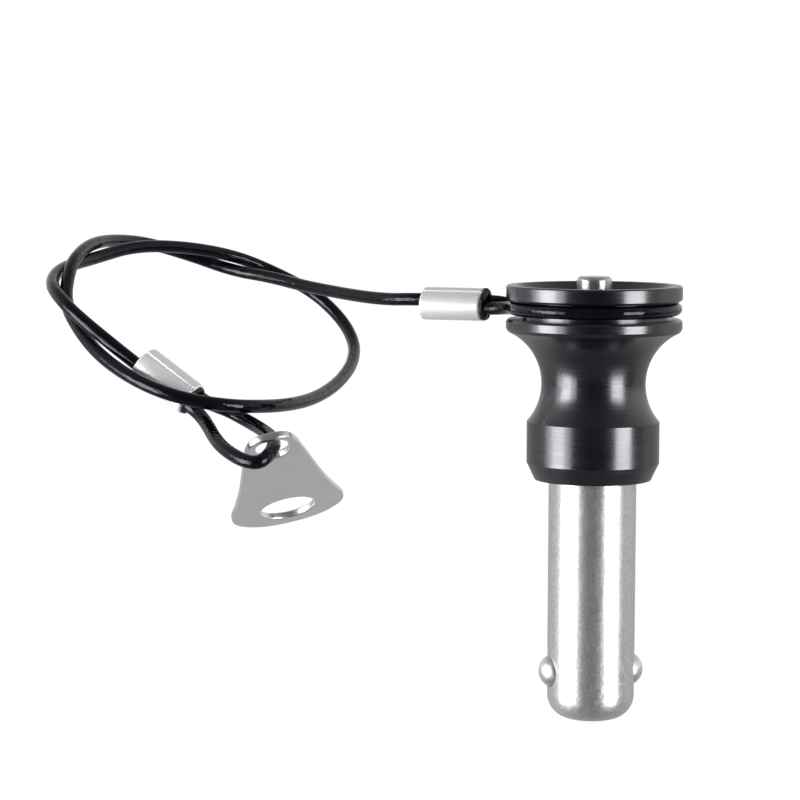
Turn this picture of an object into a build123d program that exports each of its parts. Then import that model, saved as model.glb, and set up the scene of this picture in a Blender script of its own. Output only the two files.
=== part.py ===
from build123d import *
import math
import os

os.makedirs("parts", exist_ok=True)

# Ball lock pin, 10 mm shank and 20 mm grip, with its coated wire lanyard.
# Origin on the pin's axis at the handle's underside, the shoulder that meets
# the work. +Z runs up to the button and -Z down the shank to the tip. mm.

# ---------------------------------------------------------------- dimensions
# balls and spindle
shank_d = 10.0
grip = 20.1              # shoulder to the top of the balls
ball_d = 4.0
ball_z = -(grip + ball_d / 2)
ball_out = 1.09          # how far a locked ball stands out of the shank
ball_sink = 0.03         # how far inside it lies when let in
ball_clear = 0.06
ball_turn = 10.0         # the ball axis is turned a little about the pin
ball_c = shank_d / 2 - ball_d / 2 + ball_out   # radius of the ball centres, locked
ball_travel = ball_out + ball_sink
back_gap = 0.09          # between a locked ball and the spindle behind it
cone_gap = 0.05          # between a ball on its way in and the cone
spindle_d = 2 * (ball_c - ball_d / 2 - back_gap)
neck_d = 2 * (ball_c - ball_travel - ball_d / 2 - cone_gap)
travel = 2.8             # button travel, ends flush with the dish floor
spindle_past = 1.25      # the spindle ends this far below the ball centres
spindle_end_z = ball_z - spindle_past

# shank
slide_gap = 0.1          # round the spindle, in the shank and in the handle
bore_d = spindle_d + 2 * slide_gap
bore_gap = 0.35          # below the spindle when the button is down
bore_end_z = spindle_end_z - travel - bore_gap
tip_wall = 1.1
shank_len = tip_wall - bore_end_z
tip_r = 2.7              # rounding of the tip
seat_h = 1.0             # 45 degree seat between shank and handle
spigot_d = shank_d - 2 * seat_h     # pressed up into the handle
spigot_len = 6.0
relief = 0.02            # the shank is relieved past the grip, where the ball
relief_run = 0.6         # holes are peened, so a raised edge can't bind
land_end_z = -(grip - 0.1 - relief_run)

# handle
rim_r = 10.0
handle_h = 22.1
top_flange = 1.75        # the two flanges and the cable groove between them
groove_w = 2.05
low_flange = 1.1
groove_z1 = handle_h - top_flange
groove_z0 = groove_z1 - groove_w
flange_z0 = groove_z0 - low_flange
groove_deep = 1.7
neck_r = rim_r - groove_deep
rim_wall = 1.15          # wall round the dish at its top
dish_run = 1.65          # the dish's wall leans in this much
dish_deep = 1.8
dish_top_r = rim_r - rim_wall
dish_floor_r = dish_top_r - dish_run
dish_floor_z = handle_h - dish_deep
waist_r = 5.92
waist_z = 10.9
band_r = 7.55            # lower band
band_z0 = 1.75
band_z1 = 6.595
foot_r = 6.65            # shoulder face
edge_break = 0.25
edge_fine = 0.15
chamber_ledge = 0.25     # the spigot's end seats on it
chamber_d = spigot_d - 2 * chamber_ledge       # spring chamber
chamber_roof = 1.3
chamber_top_z = dish_floor_z - chamber_roof

# collar and button, the upper end of the spindle
button_top_z = dish_floor_z + travel
collar_gap = 0.35
collar_d = chamber_d - 2 * collar_gap
collar_t = 1.2
collar_rest = 0.1        # below the chamber's roof

# return spring
wire_d = 0.6
coil_gap = 0.55          # between the spring and the spindle inside it
coil_d = spindle_d + wire_d + 2 * coil_gap
coil_turns = 7

# lanyard cable and its crimped sleeves
cable_d = 1.5
ring_gap = 0.15          # round the neck of the groove
ring_drop = 0.1          # below the groove's upper wall
ring_r = neck_r + ring_gap + cable_d / 2
ring_z = groove_z1 - ring_drop - cable_d / 2
strand_gap = 0.06        # between the two strands in a sleeve
strand = (cable_d + strand_gap) / 2
strand_lean = 58.0       # the pair of strands leans this much from upright
sleeve_len = 7.3
sleeve_side = 0.52       # walls of a sleeve, beside and across the strands
sleeve_face = 0.9
sleeve_w = 2 * strand + cable_d + 2 * sleeve_side
sleeve_t = cable_d + 2 * sleeve_face
sleeve_reach = 3.1       # from the rim to the mouth of the handle sleeve
sleeve_dist = rim_r + sleeve_reach
sleeve_turn = 19.0       # the lanyard leaves -X turned this much towards +Y
sleeve_rise = 0.12       # above the ring
sleeve_z = ring_z + sleeve_rise
crimp = 0.02             # the sleeve bites into the coating
dead_end = 5.0           # length of cut cable inside each sleeve
press_r = 0.4            # pressed line down each wide side of a sleeve
press_deep = 0.15

# tag plate
tag_t = 0.8
tag_len = 27.1
tag_top = 2.85           # the narrow end's top, above the tag's origin
tag_narrow = 4.6         # widths where the sides meet the ends
tag_wide = 13.3
tag_hollow = 0.23        # the sides flare like a bell's, hollow by this much
tag_bow = 3.35           # the wide end bows out this much
tag_flat = 0.75          # left straight across the narrow end's top
tag_corner_r = 3.3
tag_edge = 0.18
eye_w = 3.5
eye_l = 5.2
eye_wall = 0.55
eye_y = tag_top - eye_wall - eye_l / 2
tag_hole_d = 6.2
tag_hole_wall = 1.6
tag_hole_y = tag_top - tag_len + tag_hole_wall + tag_hole_d / 2

# ------------------------------------------------------------------ handle
with BuildPart() as handle:
    with BuildSketch(Plane.XZ) as handle_profile:
        with BuildLine():
            arc_low = (band_r, band_z1)
            arc_high = (rim_r - edge_break, flange_z0 - 1.5 * edge_break)
            foot = Polyline(
                (chamber_d / 2, chamber_top_z),
                (chamber_d / 2, spigot_len),
                (spigot_d / 2, spigot_len),
                (spigot_d / 2, seat_h),
                (shank_d / 2, 0),
                (foot_r, 0),
                (band_r - edge_fine, band_z0 - edge_fine),
                (band_r, band_z0 + edge_fine),
                arc_low,
            )
            ThreePointArc(arc_low, (waist_r, waist_z), arc_high)
            Polyline(
                arc_high,
                (rim_r, flange_z0),
                (rim_r, groove_z0 - edge_break),
                (rim_r - edge_break, groove_z0),
                (neck_r, groove_z0),
                (neck_r, groove_z1),
                (rim_r - edge_break, groove_z1),
                (rim_r, groove_z1 + edge_break),
                (rim_r, handle_h - edge_fine),
                (rim_r - edge_fine, handle_h),
                (dish_top_r, handle_h),
                (dish_floor_r, dish_floor_z),
                (spindle_d / 2 + slide_gap, dish_floor_z),
                (spindle_d / 2 + slide_gap, chamber_top_z),
                (chamber_d / 2, chamber_top_z),
            )
        make_face()
    revolve(axis=Axis.Z)
handle.part.label = "handle"
export_step(handle.part, "parts/handle.step")

# ------------------------------------------------------------------- shank
ball_seat_r = ball_d / 2 + ball_clear
nose_r = shank_d / 2 - relief
ball_axis = Plane(origin=(0, 0, ball_z), x_dir=(0, 0, 1),
                  z_dir=(-math.cos(math.radians(ball_turn)), -math.sin(math.radians(ball_turn)), 0))
with BuildPart() as shank:
    with BuildSketch(Plane.XZ) as shank_profile:
        with BuildLine():
            Polyline((0, bore_end_z), (0, -shank_len), (nose_r - tip_r, -shank_len))
            RadiusArc((nose_r - tip_r, -shank_len), (nose_r, tip_r - shank_len), -tip_r)
            Polyline(
                (nose_r, tip_r - shank_len),
                (nose_r, land_end_z - relief_run),
                (shank_d / 2, land_end_z),
                (shank_d / 2, 0),
                (spigot_d / 2, seat_h),
                (spigot_d / 2, spigot_len - 0.3),
                (spigot_d / 2 - 0.3, spigot_len),
                (bore_d / 2, spigot_len),
                (bore_d / 2, bore_end_z),
                (0, bore_end_z),
            )
        make_face()
    revolve(axis=Axis.Z)
    # one cross hole for both balls; a round seat keeps each ball in
    with BuildSketch(ball_axis):
        Circle(ball_seat_r)
    extrude(amount=ball_c, both=True, mode=Mode.SUBTRACT)
    with Locations(ball_axis.offset(ball_c), ball_axis.offset(-ball_c)):
        Sphere(ball_seat_r, mode=Mode.SUBTRACT)
shank.part.label = "shank"
export_step(shank.part, "parts/shank.step")

# ----------------------------------------------------------------- spindle
# The button is the spindle's own top end. Its lower end backs the balls; the
# cone above it lets them in as it goes down.
cone_k = ball_travel / travel
cone_a = math.atan(cone_k)
cone_r = ball_c - cone_gap / math.cos(cone_a) - ball_d / 2 / math.cos(cone_a)
cone_z0 = ball_z - (spindle_d / 2 - cone_r) / cone_k
cone_z1 = cone_z0 + (spindle_d - neck_d) / 2 / cone_k
neck_top_z = ball_z + travel + ball_d / 2 + 0.15
collar_top_z = chamber_top_z - collar_rest
with BuildPart() as spindle:
    with BuildSketch(Plane.XZ) as spindle_profile:
        with BuildLine():
            Polyline(
                (0, spindle_end_z),
                (spindle_d / 2 - 0.2, spindle_end_z),
                (spindle_d / 2, spindle_end_z + 0.2),
                (spindle_d / 2, cone_z0),
                (neck_d / 2, cone_z1),
                (neck_d / 2, neck_top_z),
                (spindle_d / 2, neck_top_z + (spindle_d - neck_d) / 2),
                (spindle_d / 2, collar_top_z - collar_t),
                (collar_d / 2, collar_top_z - collar_t),
                (collar_d / 2, collar_top_z),
                (spindle_d / 2, collar_top_z),
                (spindle_d / 2, button_top_z - 0.3),
                (spindle_d / 2 - 0.3, button_top_z),
                (0, button_top_z),
                (0, spindle_end_z),
            )
        make_face()
    revolve(axis=Axis.Z)
    fillet(spindle.edges().filter_by(GeomType.CIRCLE).group_by(Axis.Z)[-2], 0.25)
spindle.part.label = "spindle"
export_step(spindle.part, "parts/spindle.step")

# ----------------------------------------------------------- return spring
spring_z0 = spigot_len + wire_d / 2
spring_z1 = collar_top_z - collar_t - wire_d / 2
spring_h = spring_z1 - spring_z0
with BuildPart() as return_spring:
    with BuildLine() as spring_path:
        Helix(pitch=spring_h / coil_turns, height=spring_h, radius=coil_d / 2, center=(0, 0, spring_z0))
    with BuildSketch(Plane(origin=spring_path.line @ 0, z_dir=spring_path.line % 0)):
        Circle(wire_d / 2)
    sweep(is_frenet=True)
return_spring.part.label = "return_spring"
export_step(return_spring.part, "parts/return_spring.step")

# ------------------------------------------------------------------- balls
with BuildPart() as ball_left:
    with Locations(ball_axis.offset(ball_c)):
        Sphere(ball_d / 2)
ball_left.part.label = "ball_left"
export_step(ball_left.part, "parts/ball_left.step")

with BuildPart() as ball_right:
    with Locations(ball_axis.offset(-ball_c)):
        Sphere(ball_d / 2)
ball_right.part.label = "ball_right"
export_step(ball_right.part, "parts/ball_right.step")

# ----------------------------------------------------- lanyard: the frames
turn = math.radians(sleeve_turn)
lean = math.radians(strand_lean)
out_dir = Vector(-math.cos(turn), math.sin(turn), 0)      # away from the pin
back_dir = Vector(math.sin(turn), math.cos(turn), 0)
up_dir = Vector(0, 0, 1)
pair_dir = back_dir * math.sin(lean) + up_dir * math.cos(lean)
mouth = out_dir * sleeve_dist + up_dir * sleeve_z
far_mouth = mouth + out_dir * sleeve_len

# the tag's sleeve: its two mouths, and the direction from strand to strand
tag_mouth_in = Vector(-50.355, -8.208, 13.869)
tag_dir = Vector(0.7591, -0.3753, -0.5319).normalized()
tag_pair = Vector(0.63, 0.6292, 0.4552).normalized()
tag_pair = (tag_pair - tag_dir * tag_pair.dot(tag_dir)).normalized()
tag_mouth_out = tag_mouth_in + tag_dir * sleeve_len

# ---------------------------------------------------- lanyard: cable route
# Ring: round the groove in steps of 22.5 degrees, with a reverse bend of the
# same step at each side where the two strands come together for the sleeve.
step = math.radians(22.5)
half_step = step / 2
y_strand = strand * math.sin(lean)
bend_r = (ring_r * math.sin(step) - y_strand) / (1 - math.sin(step))
bend_x = (ring_r + bend_r) * math.cos(step)
bend_y = y_strand + bend_r
rise = sleeve_z - ring_z + strand * math.cos(lean)
drop = sleeve_z - ring_z - strand * math.cos(lean)


def flat(x, y, z):
    return out_dir * x + back_dir * y + up_dir * (ring_z + z)


upper = []
lower = []
for i, (up_z, low_z) in enumerate(((rise, drop), (rise * 0.15, drop * 0.4), (0, 0))):
    angle = -math.pi / 2 - half_step - i * step
    bx = bend_x + bend_r / math.cos(half_step) * math.cos(angle)
    by = bend_y + bend_r / math.cos(half_step) * math.sin(angle)
    upper.append(flat(bx, by, up_z))
    lower.append(flat(bx, -by, low_z))
ring = []
for i in range(14):
    angle = -(step + half_step) - i * step
    ring.append(flat(ring_r / math.cos(half_step) * math.cos(angle),
                     ring_r / math.cos(half_step) * math.sin(angle), 0))

# free coil between the two sleeves, as the stiff wire holds itself
coil = [
    (-23.32, 9.96, 19.84), (-26.57, 13.74, 19.95), (-30.02, 17.98, 20.28),
    (-33.89, 22.11, 20.78), (-38.05, 25.88, 21.64), (-42.82, 28.98, 22.24), (-48.09, 30.01, 24.06),
    (-53.16, 27.57, 25.71), (-56.52, 22.15, 26.29), (-58.51, 15.57, 26.19), (-59.53, 9.79, 25.24),
    (-60.11, 5.16, 23.71), (-60.12, 0.08, 20.02), (-57.78, -4.25, 16.83), (-54.76, -8.3, 14.19),
    (-50.36, -12.47, 11.95), (-45.69, -14.43, 10.45), (-40.68, -13.65, 9.6), (-37.06, -10.54, 9.23),
    (-34.41, -5.3, 8.92), (-32.24, 0.62, 8.91), (-30.35, 6.69, 9.38), (-28.78, 12.79, 10.34),
    (-27.67, 18.95, 11.73), (-27.56, 24.24, 13.59), (-29.15, 28.23, 16.22), (-32.67, 30.78, 19.4),
    (-37.54, 31.21, 21.9), (-42.33, 29.28, 24.03), (-48.22, 25.08, 25.34), (-54.08, 20.23, 25.65),
    (-58.48, 15.33, 24.32), (-60.79, 10.02, 23.73), (-61.74, 5.58, 23.08), (-61.71, 1.02, 22.09),
    (-60.43, -3.26, 20.98), (-58.02, -6.31, 18.95),
]
# eye through the tag, out of one strand of the sleeve and back into the other
eye = [
    (-43.48, -13.13, 8.23), (-42.68, -15.01, 7.39), (-42.0, -17.18, 6.67),
    (-41.18, -19.39, 6.01), (-40.03, -21.42, 5.38), (-38.4, -23.27, 4.75), (-36.7, -24.07, 4.62),
    (-35.59, -22.55, 5.53), (-35.32, -20.08, 6.2), (-35.84, -17.34, 6.71), (-36.85, -14.74, 7.08),
    (-37.87, -12.55, 7.42), (-39.32, -10.89, 8.0), (-40.77, -10.19, 8.71), (-42.29, -10.42, 9.32),
]
route = [mouth - pair_dir * strand + out_dir * dead_end]
route += lower
route += ring
route += upper[::-1]
route.append(far_mouth + pair_dir * strand + out_dir * 1.5)
route += [Vector(*p) for p in coil]
route.append(tag_mouth_in - tag_pair * strand - tag_dir * 1.5)
route.append(tag_mouth_out - tag_pair * strand + tag_dir * 0.9)
route += [Vector(*p) for p in eye]
route.append(tag_mouth_out + tag_pair * strand + tag_dir * 0.9)
route.append(tag_mouth_out + tag_pair * strand - tag_dir * dead_end)
runs = [(b - a).length for a, b in zip(route, route[1:])]
radii = []
for a, b, c, r0, r1 in zip(route, route[1:], route[2:], runs, runs[1:]):
    angle = math.radians((b - a).get_angle(c - b))
    radii.append(0.45 * min(r0, r1) / math.tan(angle / 2))

with BuildPart() as lanyard_cable:
    with BuildLine() as cable_path:
        FilletPolyline(*route, radius=radii)
    with BuildSketch(Plane(origin=cable_path.line @ 0, z_dir=cable_path.line % 0)):
        Circle(cable_d / 2)
    sweep()
lanyard_cable.part.label = "lanyard_cable"
export_step(lanyard_cable.part, "parts/lanyard_cable.step")
cable_len = sum(e.length for e in cable_path.edges())
print("cable length %.1f, least radius %.2f" % (cable_len, min(radii)))
print("cable volume / section x length %.4f" % (lanyard_cable.part.volume / (math.pi * cable_d**2 / 4 * cable_len)))
print("radii", [round(r, 1) for r in radii])

# ------------------------------------------------------------ crimp sleeves
# A flat-sided oval sleeve on two strands, closed on them with a pressed line
# down the middle of each wide side.
sleeve_planes = (
    ("ferrule_handle_end", Plane(origin=mouth, x_dir=pair_dir, z_dir=out_dir)),
    ("ferrule_tag_end", Plane(origin=tag_mouth_in, x_dir=tag_pair, z_dir=tag_dir)),
)
for sleeve_name, sleeve_plane in sleeve_planes:
    with BuildPart() as sleeve:
        with BuildSketch(sleeve_plane):
            SlotOverall(sleeve_w, sleeve_t)
        extrude(amount=sleeve_len)
        fillet(sleeve.faces().filter_by(GeomType.PLANE).filter_by(sleeve_plane).edges(), 0.3)
        with BuildSketch(sleeve_plane):
            with Locations((strand, 0), (-strand, 0)):
                Circle(cable_d / 2 - crimp)
            with Locations((0, sleeve_t / 2 + press_r - press_deep), (0, press_deep - press_r - sleeve_t / 2)):
                Circle(press_r)
        extrude(amount=sleeve_len, mode=Mode.SUBTRACT)
    sleeve.part.label = sleeve_name
    export_step(sleeve.part, "parts/" + sleeve_name + ".step")

# --------------------------------------------------------------- tag plate
# Bell-shaped plate: a round narrow end with the eye for the cable, sides that
# flare, and a wide end with a round hole to fasten it by. It lies across the
# eye of the cable.
tag_n = Vector(0.2341, -0.446, -0.8639).normalized()
tag_x = Vector(0.9711, 0.0647, 0.2297)
tag_x = (tag_x - tag_n * tag_x.dot(tag_n)).normalized()
tag_plane = Plane(origin=(-35.555, -20.533, 5.696), x_dir=tag_x, z_dir=tag_n)
side_end = tag_top - tag_len + tag_bow
side_chord = math.hypot((tag_wide - tag_narrow) / 2, tag_top - side_end)
tag_flare = math.asin((tag_wide - tag_narrow) / 2 / side_chord) - 4 * tag_hollow / side_chord
tag_top_r = (tag_narrow - tag_flat) / 2 * math.tan(math.pi / 4 + tag_flare / 2)
with BuildPart() as tag_plate:
    with BuildSketch(tag_plane) as tag_outline:
        with BuildLine():
            Line((-tag_narrow / 2, tag_top), (tag_narrow / 2, tag_top))
            SagittaArc((tag_narrow / 2, tag_top), (tag_wide / 2, side_end), tag_hollow)
            ThreePointArc((tag_wide / 2, side_end), (0, tag_top - tag_len), (-tag_wide / 2, side_end))
            SagittaArc((-tag_wide / 2, side_end), (-tag_narrow / 2, tag_top), tag_hollow)
        make_face()
        fillet(tag_outline.vertices().group_by(Axis.Y)[-1], tag_top_r)
        fillet(tag_outline.vertices().filter_by(lambda v: abs(abs(v.X) - tag_wide / 2) < 0.01), tag_corner_r)
        with Locations((0, eye_y)):
            SlotOverall(eye_l, eye_w, rotation=90, mode=Mode.SUBTRACT)
        with Locations((0, tag_hole_y)):
            Circle(tag_hole_d / 2, mode=Mode.SUBTRACT)
    extrude(amount=-tag_t)
    fillet(tag_plate.faces().filter_by(tag_plane).edges(), tag_edge)
tag_plate.part.label = "tag_plate"
export_step(tag_plate.part, "parts/tag_plate.step")
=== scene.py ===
# %% [markdown]
# # Ball lock pin with a wire lanyard
# This lesson dresses a small steel fastener. Its solids come ready made from the
# frame, in metres, with +Z up the pin and the origin where the handle meets the
# work. Blender adds what the solids can't carry: the finish of each surface, a
# smooth cable, the coating squeezed out of the crimped sleeves, a tag with
# hollow sides, a copy of the spring that rides with the pin, and studio light.

# %% Load the frame
import math

import bmesh
import bpy
from mathutils import Matrix, Vector


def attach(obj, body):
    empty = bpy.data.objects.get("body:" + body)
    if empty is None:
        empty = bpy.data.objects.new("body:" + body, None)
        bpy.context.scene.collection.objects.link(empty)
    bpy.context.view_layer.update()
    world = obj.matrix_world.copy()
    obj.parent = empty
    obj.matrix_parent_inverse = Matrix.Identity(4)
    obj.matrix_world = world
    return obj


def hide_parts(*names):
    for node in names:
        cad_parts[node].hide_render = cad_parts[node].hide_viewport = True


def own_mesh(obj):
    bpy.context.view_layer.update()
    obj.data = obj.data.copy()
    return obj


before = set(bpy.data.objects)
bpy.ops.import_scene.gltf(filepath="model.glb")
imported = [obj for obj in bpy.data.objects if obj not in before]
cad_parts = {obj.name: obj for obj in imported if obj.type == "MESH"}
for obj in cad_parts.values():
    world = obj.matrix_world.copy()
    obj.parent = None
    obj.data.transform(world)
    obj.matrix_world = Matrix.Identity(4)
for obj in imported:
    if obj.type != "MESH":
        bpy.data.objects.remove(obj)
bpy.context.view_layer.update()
scene = bpy.context.scene
MM = 0.001
print("nodes:", sorted(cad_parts))

# %% [markdown]
# ## Camera
# A long lens stands about 30 cm in front of the pin and looks down on it by
# 5.6 degrees. It keeps the sides of the shank almost parallel. The camera could
# be aimed with a Track To constraint; here its three axes are written out as a
# matrix, because the small roll then takes one number.

# %% Camera
CAMERA_AT = Vector((-22.0, -298.1, 38.1)) * MM
LOOK_DOWN = 0.0974       # radians, as the roll
ROLL = 0.0027
LENS = 118.4             # mm


def axes_at(x_axis, y_axis, z_axis, place):
    """The matrix of a frame with these three axes, standing at that place."""
    turn = Matrix((x_axis, y_axis, z_axis)).transposed()
    return Matrix.Translation(place) @ turn.to_4x4()


def add_to_scene(name, data):
    """A new object with that data, in the scene."""
    made = bpy.data.objects.new(name, data)
    scene.collection.objects.link(made)
    return made


forward = Vector((0, math.cos(LOOK_DOWN), -math.sin(LOOK_DOWN)))
sideways = Vector((1, 0, 0))
upright = Vector((0, math.sin(LOOK_DOWN), math.cos(LOOK_DOWN)))
right = sideways * math.cos(ROLL) + upright * math.sin(ROLL)
top = upright * math.cos(ROLL) - sideways * math.sin(ROLL)

camera_data = bpy.data.cameras.new("camera")
camera_data.lens = LENS
camera_data.sensor_width = 36
camera_data.clip_start = 0.01
camera = add_to_scene("camera", camera_data)
camera.matrix_world = axes_at(right, top, -forward, CAMERA_AT)
scene.camera = camera
scene.view_settings.view_transform = "Standard"
print("camera stands", round(CAMERA_AT.length / MM), "mm from the shoulder")

# %% [markdown]
# ## The cable's line
# The lanyard is one length of coated wire rope. It starts inside the handle's
# sleeve, runs once round the groove, goes back through the sleeve, makes a
# loose turn and a half in the air, passes the tag's sleeve, goes through the
# tag's eye and ends in the sleeve again. A NURBS curve follows a handful of
# control points smoothly, so it bends as wire does, where a polyline would
# kink. The points are listed by stretch, in millimetres.

# %% Cable control points
CABLE_D = 1.5
CABLE_LENGTH = 343.6
inside_handle_sleeve = [(-17.33, 5.27, 19.21)]
lower_strand = [(-11.43, 3.23, 19.21), (-10.05, 2.01, 19.38), (-9.24, 0.36, 19.50)]
groove_ring = [
    (-9.07, -2.39, 19.50), (-7.47, -5.68, 19.50), (-4.73, -8.10, 19.50), (-1.26, -9.29, 19.50),
    (2.39, -9.07, 19.50), (5.68, -7.47, 19.50), (8.10, -4.73, 19.50), (9.29, -1.26, 19.50),
    (9.07, 2.39, 19.50), (7.47, 5.68, 19.50), (4.73, 8.10, 19.50), (1.26, 9.29, 19.50),
    (-2.39, 9.07, 19.50), (-5.68, 7.47, 19.50),
]
upper_strand = [(-7.50, 5.41, 19.50), (-9.16, 4.60, 19.58), (-11.00, 4.49, 20.03)]
free_coil = [
    (-20.49, 7.76, 20.03), (-23.32, 9.96, 19.84), (-26.57, 13.74, 19.95), (-30.02, 17.98, 20.28),
    (-33.89, 22.11, 20.78), (-38.05, 25.88, 21.64), (-42.82, 28.98, 22.24), (-48.09, 30.01, 24.06),
    (-53.16, 27.57, 25.71), (-56.52, 22.15, 26.29), (-58.51, 15.57, 26.19), (-59.53, 9.79, 25.24),
    (-60.11, 5.16, 23.71), (-60.12, 0.08, 20.02), (-57.78, -4.25, 16.83), (-54.76, -8.3, 14.19),
    (-50.36, -12.47, 11.95), (-45.69, -14.43, 10.45), (-40.68, -13.65, 9.6), (-37.06, -10.54, 9.23),
    (-34.41, -5.3, 8.92), (-32.24, 0.62, 8.91), (-30.35, 6.69, 9.38), (-28.78, 12.79, 10.34),
    (-27.67, 18.95, 11.73), (-27.56, 24.24, 13.59), (-29.15, 28.23, 16.22), (-32.67, 30.78, 19.4),
    (-37.54, 31.21, 21.9), (-42.33, 29.28, 24.03), (-48.22, 25.08, 25.34), (-54.08, 20.23, 25.65),
    (-58.48, 15.33, 24.32), (-60.79, 10.02, 23.73), (-61.74, 5.58, 23.08), (-61.71, 1.02, 22.09),
    (-60.43, -3.26, 20.98), (-58.02, -6.31, 18.95), (-51.98, -8.14, 14.31),
]
tag_eye = [
    (-44.62, -11.78, 9.15), (-43.48, -13.13, 8.23), (-42.68, -15.01, 7.39), (-42.0, -17.18, 6.67),
    (-41.18, -19.39, 6.01), (-40.03, -21.42, 5.38), (-38.4, -23.27, 4.75), (-36.7, -24.07, 4.62),
    (-35.59, -22.55, 5.53), (-35.32, -20.08, 6.2), (-35.84, -17.34, 6.71), (-36.85, -14.74, 7.08),
    (-37.87, -12.55, 7.42), (-39.32, -10.89, 8.0), (-40.77, -10.19, 8.71), (-42.29, -10.42, 9.32),
    (-43.64, -10.79, 9.86),
]
inside_tag_sleeve = [(-48.12, -8.58, 13.00)]
cable_points = (inside_handle_sleeve + lower_strand + groove_ring + upper_strand
                + free_coil + tag_eye + inside_tag_sleeve)
print(len(cable_points), "control points")

# %% [markdown]
# ## The cable
# The curve's own bevel gives the round section. Its depth is 1 and each point's
# radius is the cable's, so Blender's bounding box of the curve is true to size.
# The order is set after the points are added, since a spline of two points
# can't hold order 3.

# %% Cable
cable_curve = bpy.data.curves.new("coated_cable", "CURVE")
cable_curve.dimensions = "3D"
cable_curve.bevel_depth = 1
cable_curve.bevel_resolution = 7
cable_curve.resolution_u = 14
cable_curve.use_fill_caps = True
spline = cable_curve.splines.new("NURBS")
spline.points.add(len(cable_points) - 1)
for point, place in zip(spline.points, cable_points):
    point.co = (*(Vector(place) * MM), 1)
    point.radius = CABLE_D / 2 * MM
spline.order_u = 3
spline.use_endpoint_u = True
spline.use_smooth = True
cable = add_to_scene("coated_cable", cable_curve)
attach(cable, "lanyard_body")
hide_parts("lanyard_cable")
print("cable of", CABLE_D, "mm")

# %% [markdown]
# ## Squeezed collars
# Crimping a sleeve squeezes some of the soft coating out of its mouth. It lies
# there as a lumpy collar round both strands, thick where the sleeve was pressed
# hardest. A torus can't change its thickness on the way round, so each collar is
# built ring by ring, as a closed tube along an oval path.

# %% Squeezed collars
PATH_STEPS = 72
TUBE_SIDES = 14
PATH_RADIUS = 1.15       # mm, of the oval's round ends
PATH_STRETCH = 0.4       # mm, by which each end is drawn out


def squeezed_collar(name, mouth, outward, pair, thin, thick):
    """A lumpy ring against a sleeve's mouth; pair is the direction from strand to strand."""
    outward, pair = Vector(outward).normalized(), Vector(pair).normalized()
    across = outward.cross(pair)
    centre = Vector(mouth) + outward * (thin / 2)
    vertices, quads = [], []
    for i in range(PATH_STEPS):
        angle = 2 * math.pi * i / PATH_STEPS
        side = pair * math.cos(angle) + across * math.sin(angle)
        stretch = PATH_STRETCH * max(-1.0, min(1.0, 3 * math.cos(angle)))
        on_path = centre + side * PATH_RADIUS + pair * stretch
        radius = thin + (thick - thin) * abs(side.z) ** 1.5
        radius *= 1 + 0.08 * math.sin(7 * angle + 1) + 0.06 * math.sin(13 * angle)
        for j in range(TUBE_SIDES):
            turn = 2 * math.pi * j / TUBE_SIDES
            spot = side * (radius * math.cos(turn)) + outward * (radius * math.sin(turn))
            vertices.append((on_path + spot) * MM)
            ring, next_ring = i * TUBE_SIDES, (i + 1) % PATH_STEPS * TUBE_SIDES
            next_j = (j + 1) % TUBE_SIDES
            quads.append((ring + j, next_ring + j, next_ring + next_j, ring + next_j))
    mesh = bpy.data.meshes.new(name)
    mesh.from_pydata(vertices, [], quads)
    mesh.shade_smooth()
    collar = add_to_scene(name, mesh)
    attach(collar, "lanyard_body")
    return collar


HANDLE_SLEEVE_LIES = (-0.9455, 0.3256, 0.0)      # away from the handle
TAG_SLEEVE_LIES = (0.7591, -0.3753, -0.5319)     # towards the tag
collars = [
    squeezed_collar("collar_handle_end", mouth=(-12.386, 4.265, 19.62),
                    outward=-Vector(HANDLE_SLEEVE_LIES), pair=(0.2761, 0.8018, 0.5299),
                    thin=0.3, thick=0.5),
    squeezed_collar("collar_tag_end", mouth=(-44.814, -10.948, 9.986),
                    outward=TAG_SLEEVE_LIES, pair=(0.63, 0.6292, 0.4552),
                    thin=0.2, thick=0.34),
]
print([collar.name for collar in collars])

# %% [markdown]
# ## Stamped tag with rounded rims
# The tag is stamped from 0.8 mm sheet. Its sides are hollow like a bell's, and
# tumbling has rounded every rim. A flat 2D curve gives all that: its fill
# leaves out the splines that lie inside another, and its bevel rounds the rims.
# A solidified and bevelled mesh would do too, with more steps.

# %% Tag drawing, in millimetres
TAG_THICK = 0.8
RIM_ROUND = 0.18
EYE_WIDE, EYE_LONG, EYE_Y = 3.5, 5.2, -0.3
HOLE_D, HOLE_Y = 6.2, -19.55
half_outline = [
    (0, 2.93), (1.15, 2.8), (2.06, 2.15), (2.6, 1.0), (3.28, -2.6), (4.22, -8.6),
    (4.97, -13.0), (5.88, -17.0), (6.36, -18.9), (6.44, -20.3), (6.04, -21.55),
    (5.2, -22.65), (3.3, -23.98), (0, -24.57),
]
outline = half_outline + [(-x, y) for x, y in half_outline[-2:0:-1]]


def opening(radius, half_straight, centre_y, count=48):
    """A circle, or a slot when its two halves are drawn apart by half_straight."""
    ring = []
    for i in range(count):
        angle = 2 * math.pi * (i + 0.5) / count
        apart = math.copysign(half_straight, math.sin(angle))
        ring.append((radius * math.cos(angle), centre_y + radius * math.sin(angle) + apart))
    return ring


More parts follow.
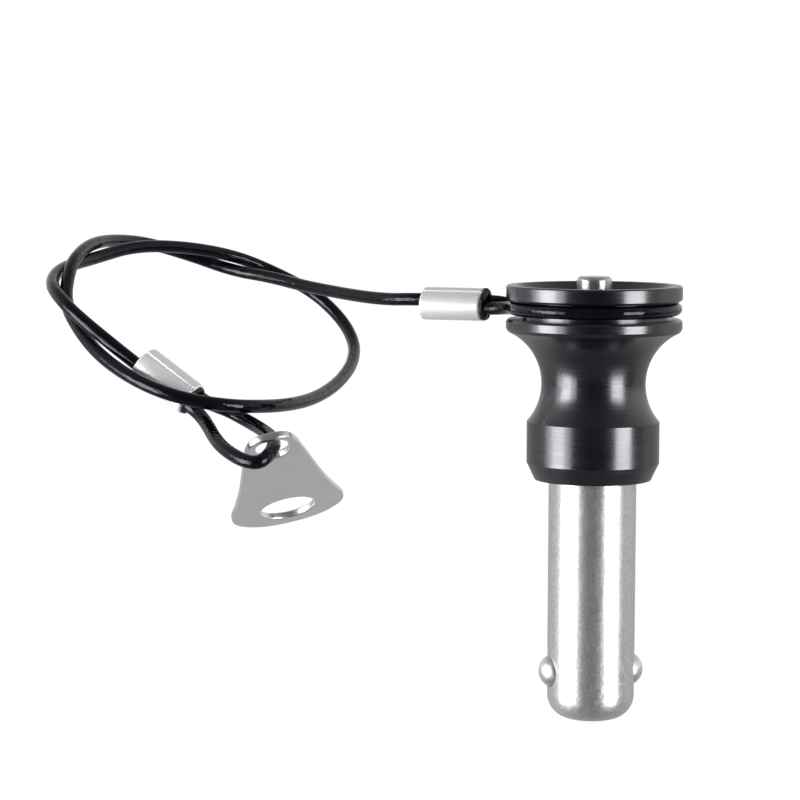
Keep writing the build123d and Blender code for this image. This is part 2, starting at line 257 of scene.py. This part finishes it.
tag_curve = bpy.data.curves.new("tag_drawing", "CURVE")
tag_curve.dimensions = "2D"
tag_curve.fill_mode = "BOTH"
tag_curve.extrude = TAG_THICK / 2 - RIM_ROUND
tag_curve.bevel_depth = RIM_ROUND
tag_curve.bevel_resolution = 4
tag_curve.offset = -RIM_ROUND
tag_curve.resolution_u = 10
rim = tag_curve.splines.new("BEZIER")
rim.bezier_points.add(len(outline) - 1)
for point, place in zip(rim.bezier_points, outline):
    point.co = (*place, 0)
    point.handle_left_type = point.handle_right_type = "AUTO"
rim.use_cyclic_u = True
for ring in (opening(EYE_WIDE / 2, (EYE_LONG - EYE_WIDE) / 2, EYE_Y),
             opening(HOLE_D / 2, 0, HOLE_Y)):
    cut = tag_curve.splines.new("POLY")
    cut.points.add(len(ring) - 1)
    for point, place in zip(cut.points, ring):
        point.co = (*place, 0, 1)
    cut.use_cyclic_u = True
print(len(outline), "points round the tag,", len(tag_curve.splines) - 1, "openings")

# %% [markdown]
# The drawing becomes a mesh in the tag's own tilted place. A curve is shaded
# smooth all over, which would smear the rims' shading across the two flat
# faces, so the mesh's flat faces are shaded flat.

# %% Tag
TAG_AT = Vector((-35.555, -20.533, 5.696))
tag_faces = Vector((0.2341, -0.446, -0.8639)).normalized()
tag_across = Vector((0.9711, 0.0647, 0.2297))
tag_across = (tag_across - tag_faces * tag_across.dot(tag_faces)).normalized()
tag_place = axes_at(tag_across, tag_faces.cross(tag_across), tag_faces,
                    TAG_AT - tag_faces * (TAG_THICK / 2))

drawing = add_to_scene("tag_drawing", tag_curve)
drawn = drawing.evaluated_get(bpy.context.evaluated_depsgraph_get())
tag_mesh = bpy.data.meshes.new_from_object(drawn)
bpy.data.objects.remove(drawing)
joined = bmesh.new()
joined.from_mesh(tag_mesh)
bmesh.ops.remove_doubles(joined, verts=joined.verts, dist=0.0005)
bmesh.ops.recalc_face_normals(joined, faces=joined.faces)
for face in joined.faces:
    face.smooth = abs(face.normal.z) < 0.999
open_edges = sum(not edge.is_manifold for edge in joined.edges)
print("tag:", len(joined.faces), "faces,", open_edges, "open edges")
joined.to_mesh(tag_mesh)
joined.free()
tag_mesh.transform(Matrix.Scale(MM, 4) @ tag_place)
bell_tag = add_to_scene("bell_tag", tag_mesh)
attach(bell_tag, "tag_body")
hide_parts("tag_plate")

# %% [markdown]
# Now that all its fittings exist, the cable's own length and its thickness
# are printed for the cord.

# %% Cord
print("cord:", CABLE_LENGTH, "mm long,", CABLE_D, "mm thick")

# %% [markdown]
# ## Material tools
# Every finish is one Principled shader with a few procedural textures. This
# helper makes the material and hands back a small set of tools, so that each
# recipe below reads as a list of steps. Image textures could do the same, but
# they need unwrapping and run out of detail close up.

# %% Material tools


class Finish:
    """One procedural material: its Principled shader, and short ways to add nodes."""

    def __init__(self, name, colour, roughness, metallic=0.0):
        self.material = bpy.data.materials.new(name)
        self.material.use_nodes = True
        self.tree = self.material.node_tree
        self.shader = self.tree.nodes["Principled BSDF"]
        self.set("Base Color", (*colour, 1))
        self.set("Roughness", roughness)
        self.set("Metallic", metallic)

    def set(self, socket, value):
        """A value that holds all over the surface."""
        self.shader.inputs[socket].default_value = value

    def link(self, source, target):
        """Target is a socket, or the name of one of the shader's."""
        if isinstance(target, str):
            target = self.shader.inputs[target]
        self.tree.links.new(source, target)

    def node(self, kind, **settings):
        made = self.tree.nodes.new(kind)
        for key, value in settings.items():
            setattr(made, key, value)
        return made

    def coordinate(self, which="Object"):
        return self.node("ShaderNodeTexCoord").outputs[which]

    def math(self, operation, a, b=None):
        step = self.node("ShaderNodeMath", operation=operation)
        for socket, value in zip(step.inputs, (a, b)):
            if isinstance(value, (int, float)):
                socket.default_value = value
            elif value is not None:
                self.link(value, socket)
        return step.outputs[0]

    def ramp(self, factor, low, high, out_low, out_high):
        """Maps low...high to out_low...out_high, and holds the ends."""
        step = self.node("ShaderNodeMapRange", clamp=True)
        sockets = ("From Min", "From Max", "To Min", "To Max")
        for name, value in zip(sockets, (low, high, out_low, out_high)):
            step.inputs[name].default_value = value
        self.link(factor, step.inputs["Value"])
        return step.outputs["Result"]

    def noise(self, vector, scale, detail=3.0, roughness=0.5):
        step = self.node("ShaderNodeTexNoise")
        step.inputs["Scale"].default_value = scale
        step.inputs["Detail"].default_value = detail
        step.inputs["Roughness"].default_value = roughness
        self.link(vector, step.inputs["Vector"])
        return step.outputs["Fac"]

    def mapped(self, coordinate, **settings):
        """The coordinate turned or stretched by a Mapping node."""
        step = self.node("ShaderNodeMapping")
        for name, value in settings.items():
            step.inputs[name].default_value = value
        self.link(coordinate, step.inputs["Vector"])
        return step.outputs["Vector"]

    def tint(self, factor, dark, light):
        step = self.node("ShaderNodeMix", data_type="RGBA")
        step.inputs["A"].default_value = (*dark, 1)
        step.inputs["B"].default_value = (*light, 1)
        self.link(factor, step.inputs["Factor"])
        self.link(step.outputs["Result"], "Base Color")

    def bump(self, height, depth):
        step = self.node("ShaderNodeBump")
        step.inputs["Distance"].default_value = depth
        self.link(height, step.inputs["Height"])
        self.link(step.outputs["Normal"], "Normal")

    def streaks_along_pin(self, strength):
        """Anisotropy that draws reflections out along Z, as grooves round Z do."""
        tangent = self.node("ShaderNodeTangent", direction_type="RADIAL", axis="Z")
        self.link(tangent.outputs[0], "Tangent")
        self.set("Anisotropic", strength)
        self.set("Anisotropic Rotation", 0.25)

    def around_pin(self):
        """(angle, radius, height) about the pin's axis, which a lathe's lines keep to."""
        split = self.node("ShaderNodeSeparateXYZ")
        self.link(self.coordinate(), split.inputs[0])
        x, y, z = split.outputs
        angle = self.math("ARCTAN2", y, x)
        squares = self.math("ADD", self.math("MULTIPLY", x, x), self.math("MULTIPLY", y, y))
        joined = self.node("ShaderNodeCombineXYZ")
        for source, socket in zip((angle, self.math("SQRT", squares), z), joined.inputs):
            self.link(source, socket)
        return joined.outputs[0]


def wear(finish, *pieces):
    """Gives the finish to these pieces; a name stands for that node of the frame."""
    for piece in pieces:
        if isinstance(piece, str):
            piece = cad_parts[piece]
        piece.data.materials.clear()
        piece.data.materials.append(finish.material)
    print(finish.material.name, "on", len(pieces), "pieces")


# %% [markdown]
# ### Black anodised handle
# The handle was turned, so very fine rings run round it everywhere, and the
# anodising over them is a hard satin black. Rings that keep their radius and
# height and hardly change with the angle come from noise in the (angle,
# radius, height) coordinates. Two scales are mixed: the tool's own feed, and
# finer scratches. The feed also changes the roughness a little from ring to
# ring, which streaks the highlights.

# %% Handle finish
anodised = Finish("black_anodised", (0.0006, 0.0005, 0.003), 0.24)
anodised.set("IOR", 1.9)
anodised.set("Specular Tint", (0.97, 0.95, 1.0, 1))
anodised.streaks_along_pin(0.5)
lathe = anodised.around_pin()
feed_lines = anodised.noise(anodised.mapped(lathe, Scale=(0.35, 5000, 5000)), 1.0)
fine_lines = anodised.noise(anodised.mapped(lathe, Scale=(2.0, 26000, 26000)), 1.0, 2.0)
soft_patches = anodised.noise(anodised.coordinate(), 260, 4.0)
lines = anodised.math("ADD", feed_lines, anodised.math("MULTIPLY", fine_lines, 0.6))
anodised.bump(lines, 0.0000016)
uneven = anodised.math("ADD", soft_patches, anodised.math("MULTIPLY", feed_lines, 1.2))
anodised.link(anodised.ramp(uneven, 0.85, 1.35, 0.21, 0.31), "Roughness")
anodised.tint(soft_patches, (0.0006, 0.0005, 0.003), (0.0012, 0.001, 0.005))
wear(anodised, "handle")

# %% [markdown]
# ### Ground stainless shank
# Grinding leaves countless grooves round the shank. They spread a reflection
# along the pin and keep it sharp across it, which makes the long bright bands.
# Anisotropy about a radial tangent does that without modelling a groove, and a
# light grain breaks the bands up. The button is turned from the same steel.

# %% Shank and button finish


def ground_steel(name, colour, roughness, grain, spread):
    """Steel ground round the pin's axis; grain is the share of plain speckle."""
    steel = Finish(name, colour, roughness, 0.9)
    steel.streaks_along_pin(spread)
    grooves = steel.noise(steel.mapped(steel.around_pin(), Scale=(3.0, 9000, 14000)), 1.0)
    mottle = steel.noise(steel.coordinate(), 3500, 3.0, 0.6)
    steel.bump(steel.math("ADD", grooves, steel.math("MULTIPLY", mottle, grain)), 0.000016)
    steel.link(steel.ramp(mottle, 0.3, 0.7, roughness * 0.85, roughness * 1.15), "Roughness")
    darker, lighter = [c * 0.88 for c in colour], [c * 1.12 for c in colour]
    steel.tint(steel.ramp(mottle, 0.38, 0.62, 0.0, 1.0), darker, lighter)
    return steel


wear(ground_steel("ground_stainless", (0.67, 0.64, 0.65), 0.36, grain=1.2, spread=0.5), "shank")
wear(ground_steel("turned_stainless", (0.64, 0.62, 0.6), 0.2, grain=0.4, spread=0.3), "spindle")

# %% [markdown]
# ### Polished balls and the spring
# A new ball is nearly a mirror, but one that has locked a few times wears a
# haze that softens its highlight. The spring hides in the handle and takes a
# plain drawn-wire finish. In both, one noise only varies the roughness, since
# neither has lines of its own.

# %% Ball and spring finish
ball_steel = Finish("polished_ball", (0.76, 0.76, 0.77), 0.36, 1.0)
haze = ball_steel.noise(ball_steel.coordinate(), 1400, 4.0)
ball_steel.link(ball_steel.ramp(haze, 0.3, 0.7, 0.3, 0.44), "Roughness")
ball_steel.bump(haze, 0.000004)
wear(ball_steel, "ball_left", "ball_right")

spring_steel = Finish("spring_wire", (0.42, 0.42, 0.43), 0.3, 1.0)
wire_marks = spring_steel.noise(spring_steel.coordinate(), 2600)
spring_steel.link(spring_steel.ramp(wire_marks, 0.3, 0.7, 0.24, 0.4), "Roughness")
wear(spring_steel, "return_spring")

# %% [markdown]
# ### A copy of the spring
# A node of the solid model can only move as a whole, and this one would be
# pushed into the shank when the button goes down. So a copy of the spring,
# with a mesh of its own, stands for it and stays with the pin.

# %% Return spring
spring = add_to_scene("compressing_spring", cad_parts["return_spring"].data.copy())
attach(spring, "pin_body")
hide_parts("return_spring")
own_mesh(spring)

# %% [markdown]
# ### Glossy cable coating
# The coating is clear black plastic over twisted strands, so its skin rises
# and falls in a faint helix and the highlights along it wander and break. The
# curve's UV map runs along the cable in one direction and round it in the
# other, so a sine of both gives the twist. What was squeezed out at the sleeves
# is the same plastic, torn and dull.

# %% Cable finish
STRANDS = 6
LAY_LENGTH = 9.0         # mm of cable for one full twist
coating = Finish("cable_coating", (0.0025, 0.0022, 0.006), 0.06)
coating.set("IOR", 1.37)
coating.set("Specular Tint", (0.93, 0.91, 1.0, 1))
uv_split = coating.node("ShaderNodeSeparateXYZ")
coating.link(coating.coordinate("UV"), uv_split.inputs[0])
along, around, _ = uv_split.outputs
twists = coating.math("ADD", coating.math("MULTIPLY", along, CABLE_LENGTH / LAY_LENGTH), around)
helix = coating.math("SINE", coating.math("MULTIPLY", twists, 2 * math.pi * STRANDS))
place = coating.coordinate()
waves = coating.noise(place, 520)
skin = coating.math("ADD", coating.math("MULTIPLY", helix, 0.08),
                    coating.math("MULTIPLY", waves, 1.5))
coating.bump(skin, 0.00005)
coating.link(coating.ramp(coating.noise(place, 900), 0.35, 0.7, 0.02, 0.07), "Roughness")
wear(coating, cable)

squeezed = Finish("squeezed_coating", (0.004, 0.004, 0.005), 0.3)
crumbs = squeezed.noise(squeezed.coordinate(), 2600, 4.0, 0.6)
squeezed.bump(crumbs, 0.00012)
squeezed.link(squeezed.ramp(crumbs, 0.4, 0.6, 0.2, 0.5), "Roughness")
wear(squeezed, *collars)

# %% [markdown]
# ### Drawn aluminium sleeves
# The sleeves are cut from drawn tube: bright, soft metal with fine lines along
# it. Each sleeve lies its own way, so the lines come from noise that is turned
# into the sleeve's direction and stretched along it.

# %% Sleeve finish


def drawn_aluminium(name, lies):
    """Bright aluminium with drawing lines along that direction."""
    metal = Finish(name, (0.94, 0.94, 0.97), 0.45, 0.45)
    place = metal.coordinate()
    turn = Vector(lies).normalized().rotation_difference(Vector((0, 0, 1))).to_euler()
    turned = metal.mapped(place, Rotation=turn)
    lines = metal.noise(metal.mapped(turned, Scale=(5200, 5200, 90)), 1.0, 4.0, 0.6)
    patches = metal.noise(place, 900)
    metal.bump(metal.math("ADD", lines, metal.math("MULTIPLY", patches, 0.6)), 0.000012)
    metal.link(metal.ramp(lines, 0.3, 0.7, 0.4, 0.5), "Roughness")
    metal.tint(patches, (0.94, 0.94, 0.97), (0.98, 0.98, 1.0))
    return metal


wear(drawn_aluminium("drawn_aluminium_handle_end", HANDLE_SLEEVE_LIES), "ferrule_handle_end")
wear(drawn_aluminium("drawn_aluminium_tag_end", TAG_SLEEVE_LIES), "ferrule_tag_end")

# %% [markdown]
# ### Tumbled steel tag
# The tag was stamped and then tumbled with stones, which leaves an even grey
# satin face and a brighter, rounder rim. The rounding is in the shape; here
# the face gets a fine random grain, and wider clouds in its roughness.

# %% Tag finish
tag_steel = Finish("tumbled_stainless", (0.8, 0.79, 0.81), 0.3, 1.0)
grain = tag_steel.noise(tag_steel.coordinate(), 5200, 4.0, 0.7)
clouds = tag_steel.noise(tag_steel.coordinate(), 320)
tag_steel.bump(tag_steel.math("ADD", grain, tag_steel.math("MULTIPLY", clouds, 0.4)), 0.0000015)
tag_steel.link(tag_steel.ramp(clouds, 0.35, 0.65, 0.26, 0.36), "Roughness")
tag_steel.tint(grain, (0.77, 0.76, 0.78), (0.85, 0.84, 0.86))
wear(tag_steel, "tag_plate", bell_tag)

# %% [markdown]
# ## Floor, backdrop and light
# The pin is held in the air, so the floor lies well below it and only a very
# soft shadow falls there. Floor and world are white to the camera alone. In
# reflections the room is dark in front and overhead and brightest at the sides,
# and the floor darkens towards the front, so black metal stays black there.

# %% World
ROOM = ((0, 0.05), (0.03, 0.09), (0.07, 0.16), (0.2, 0.3), (0.4, 0.7), (0.5, 1.0),
        (0.68, 0.9), (0.8, 0.8), (1, 0.7))       # from front to back, how bright
world = bpy.data.worlds.new("studio")
world.use_nodes = True
scene.world = world
nodes, links = world.node_tree.nodes, world.node_tree.links
backdrop = nodes["Background"]
backdrop.inputs["Color"].default_value = (1, 1, 1, 1)
direction = nodes.new("ShaderNodeTexCoord")
split = nodes.new("ShaderNodeSeparateXYZ")
links.new(direction.outputs["Generated"], split.inputs[0])

front_to_back = nodes.new("ShaderNodeMapRange")
front_to_back.inputs["From Min"].default_value = -1
links.new(split.outputs["Y"], front_to_back.inputs["Value"])
room = nodes.new("ShaderNodeValToRGB")
stops = room.color_ramp.elements
for spot, _ in ROOM[1:-1]:
    stops.new(spot)
for stop, (_, brightness) in zip(stops, ROOM):
    stop.color = (brightness, brightness, brightness, 1)
links.new(front_to_back.outputs["Result"], room.inputs["Fac"])

overhead = nodes.new("ShaderNodeMapRange")
for name, value in (("From Min", 0.25), ("From Max", 0.9), ("To Min", 1.0), ("To Max", 0.3)):
    overhead.inputs[name].default_value = value
links.new(split.outputs["Z"], overhead.inputs["Value"])
surroundings = nodes.new("ShaderNodeBackground")
links.new(room.outputs["Color"], surroundings.inputs["Color"])
links.new(overhead.outputs["Result"], surroundings.inputs["Strength"])

light_path = nodes.new("ShaderNodeLightPath")
chosen = nodes.new("ShaderNodeMixShader")
links.new(light_path.outputs["Is Camera Ray"], chosen.inputs["Fac"])
links.new(surroundings.outputs[0], chosen.inputs[1])
links.new(backdrop.outputs[0], chosen.inputs[2])
links.new(chosen.outputs[0], nodes["World Output"].inputs["Surface"])
print("room of", len(stops), "stops")

# %% [markdown]
# Metal cylinders are shot between soft boxes: each gives one bright band, with
# the dark of the room between them. The left one has a brighter core in front
# of it, so its band fades out towards both edges. Plain area lamps do this with
# no geometry to hide.

# %% Soft boxes
BOX_HEIGHT = 0.3         # m
BOX_Z = -0.02            # its middle, a little below the shoulder


def soft_box(name, azimuth, distance, width, power):
    """A tall area lamp at that azimuth from the camera's side, turned to the pin."""
    data = bpy.data.lights.new(name, "AREA")
    data.shape = "RECTANGLE"
    data.size, data.size_y = width, BOX_HEIGHT
    data.energy = power
    lamp = add_to_scene(name, data)
    angle = math.radians(azimuth)
    lamp.location = (distance * math.sin(angle), -distance * math.cos(angle), BOX_Z)
    aim = Vector((0, 0, BOX_Z)) - lamp.location
    lamp.rotation_euler = aim.to_track_quat("-Z", "Y").to_euler()
    print(name, "at", azimuth, "degrees")


soft_box("soft_box_left", -67, distance=0.4, width=0.36, power=1.17)
soft_box("soft_box_left_core", -67, distance=0.39, width=0.17, power=1.0)
soft_box("soft_box_right", 50, distance=0.4, width=0.2, power=1.5)

# %% [markdown]
# The floor is a dark diffuse sheet, which takes the soft shadow, plus a glow
# that only the camera sees in full. Mirrored rays see a weaker glow that grows
# from the front to the back. A white diffuse floor would light the pin from
# below and grey its black parts.

# %% Floor
FLOOR_Z = -0.16
FLOOR_SIZE = 6
FLOOR_MIDDLE = 2.5       # how far behind the pin its middle lies
GLOW_GROWS = (-0.06, 0.14)       # y between which the mirrored glow grows
MIRRORED_GLOW = (0.04, 0.4)      # and its strength there
bpy.ops.mesh.primitive_plane_add(size=FLOOR_SIZE, location=(0, FLOOR_MIDDLE, FLOOR_Z))
floor = bpy.context.object
floor.name = "floor"
sheet = Finish("studio_floor", (0.12, 0.12, 0.12), 1.0)
sheet.tree.nodes.remove(sheet.shader)
diffuse = sheet.node("ShaderNodeBsdfDiffuse")
diffuse.inputs["Color"].default_value = (0.12, 0.12, 0.12, 1)
glow = sheet.node("ShaderNodeEmission")
floor_split = sheet.node("ShaderNodeSeparateXYZ")
sheet.link(sheet.coordinate(), floor_split.inputs[0])
depth = sheet.ramp(floor_split.outputs["Y"], *(y - FLOOR_MIDDLE for y in GLOW_GROWS),
                   *MIRRORED_GLOW)
ray = sheet.node("ShaderNodeLightPath").outputs
mirrored = sheet.math("MAXIMUM", ray["Is Glossy Ray"], ray["Is Transmission Ray"])
brightness = sheet.math("MAXIMUM", sheet.math("MULTIPLY", mirrored, depth), ray["Is Camera Ray"])
sheet.link(brightness, glow.inputs["Strength"])
both = sheet.node("ShaderNodeAddShader")
sheet.link(diffuse.outputs[0], both.inputs[0])
sheet.link(glow.outputs[0], both.inputs[1])
sheet.link(both.outputs[0], sheet.tree.nodes["Material Output"].inputs["Surface"])
floor.data.materials.append(sheet.material)
print("floor", abs(FLOOR_Z), "m below the shoulder")
